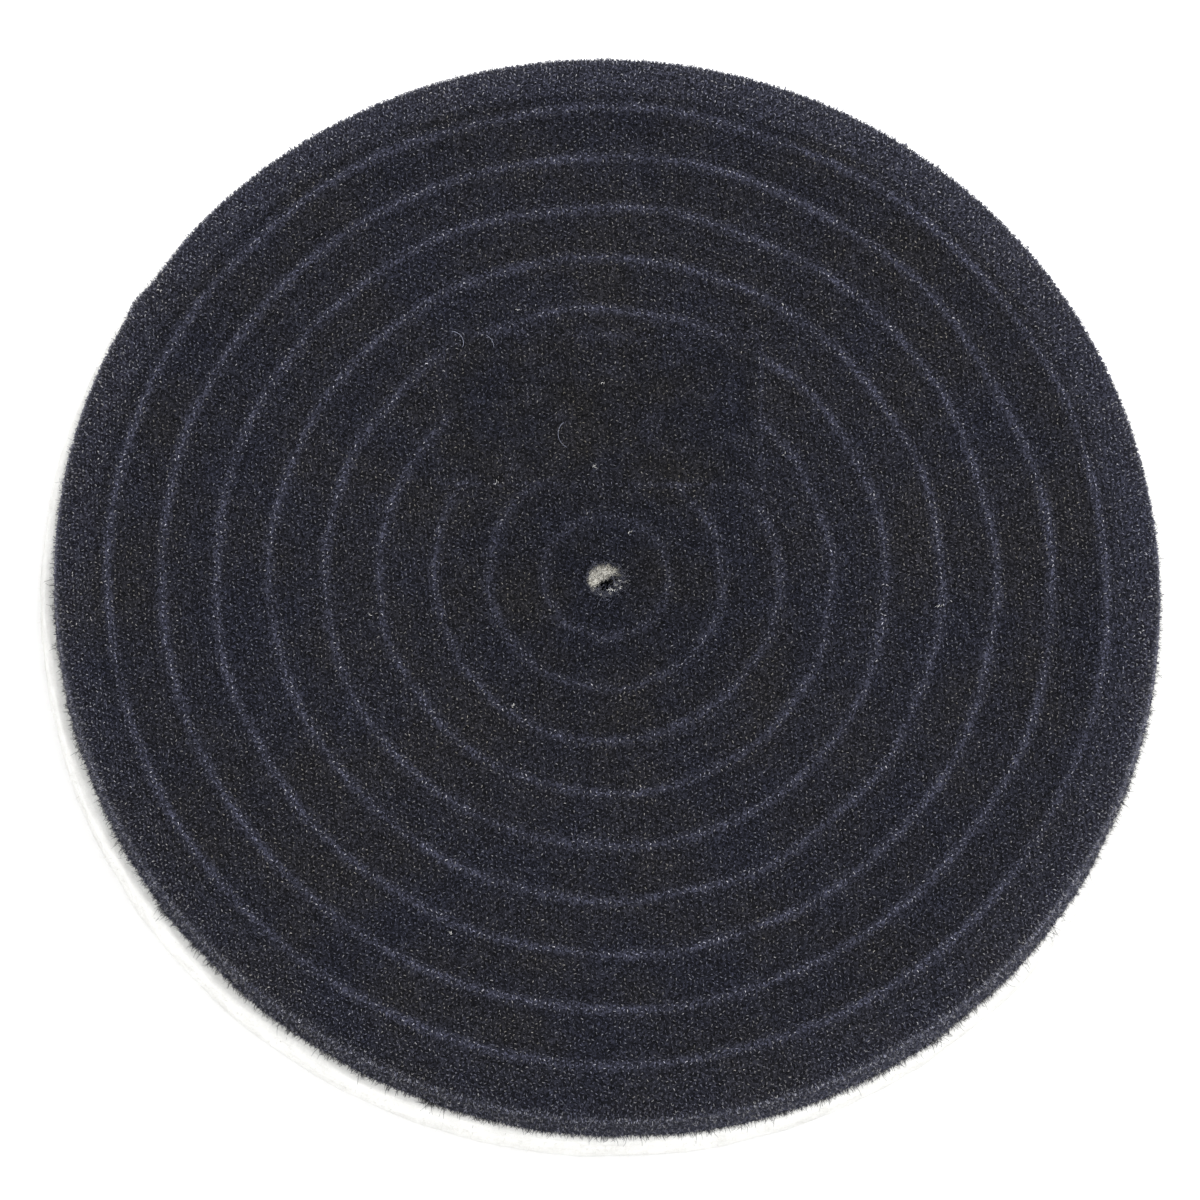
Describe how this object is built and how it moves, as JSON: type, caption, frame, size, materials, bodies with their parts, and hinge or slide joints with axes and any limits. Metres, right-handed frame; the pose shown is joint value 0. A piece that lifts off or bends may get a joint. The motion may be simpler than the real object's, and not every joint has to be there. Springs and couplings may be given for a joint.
{
  "type": "felt polishing wheel",
  "caption": "Thick round polishing wheel of laminated wool felt, with a dark loop cloth glued over its back along concentric ridges and a centre hole.",
  "frame": {"origin": "middle of the working face of the face felt, on the axis of the centre hole", "axes": "+Z along the centre hole, from the working face towards the loop cloth; X and Y are any two directions across the face"},
  "size_m": [0.1778, 0.1778, 0.0194],
  "materials": {
    "face_felt": "matte, fuzzy",
    "core_felt": "matte, fuzzy",
    "loop_cloth": "matte loop pile",
    "adhesive": "satin"
  },
  "bodies": {
    "root": {"face_felt": "face_felt", "bond_film": "adhesive", "core_felt": "core_felt", "skirt_glue": "adhesive", "glue_ring_1": "adhesive", "glue_ring_2": "adhesive", "glue_ring_3": "adhesive", "glue_ring_4": "adhesive", "glue_ring_5": "adhesive", "glue_ring_6": "adhesive", "glue_ring_7": "adhesive", "glue_ring_8": "adhesive", "glue_ring_9": "adhesive", "loop_cover": "loop_cloth"}
  },
  "joints": []
}
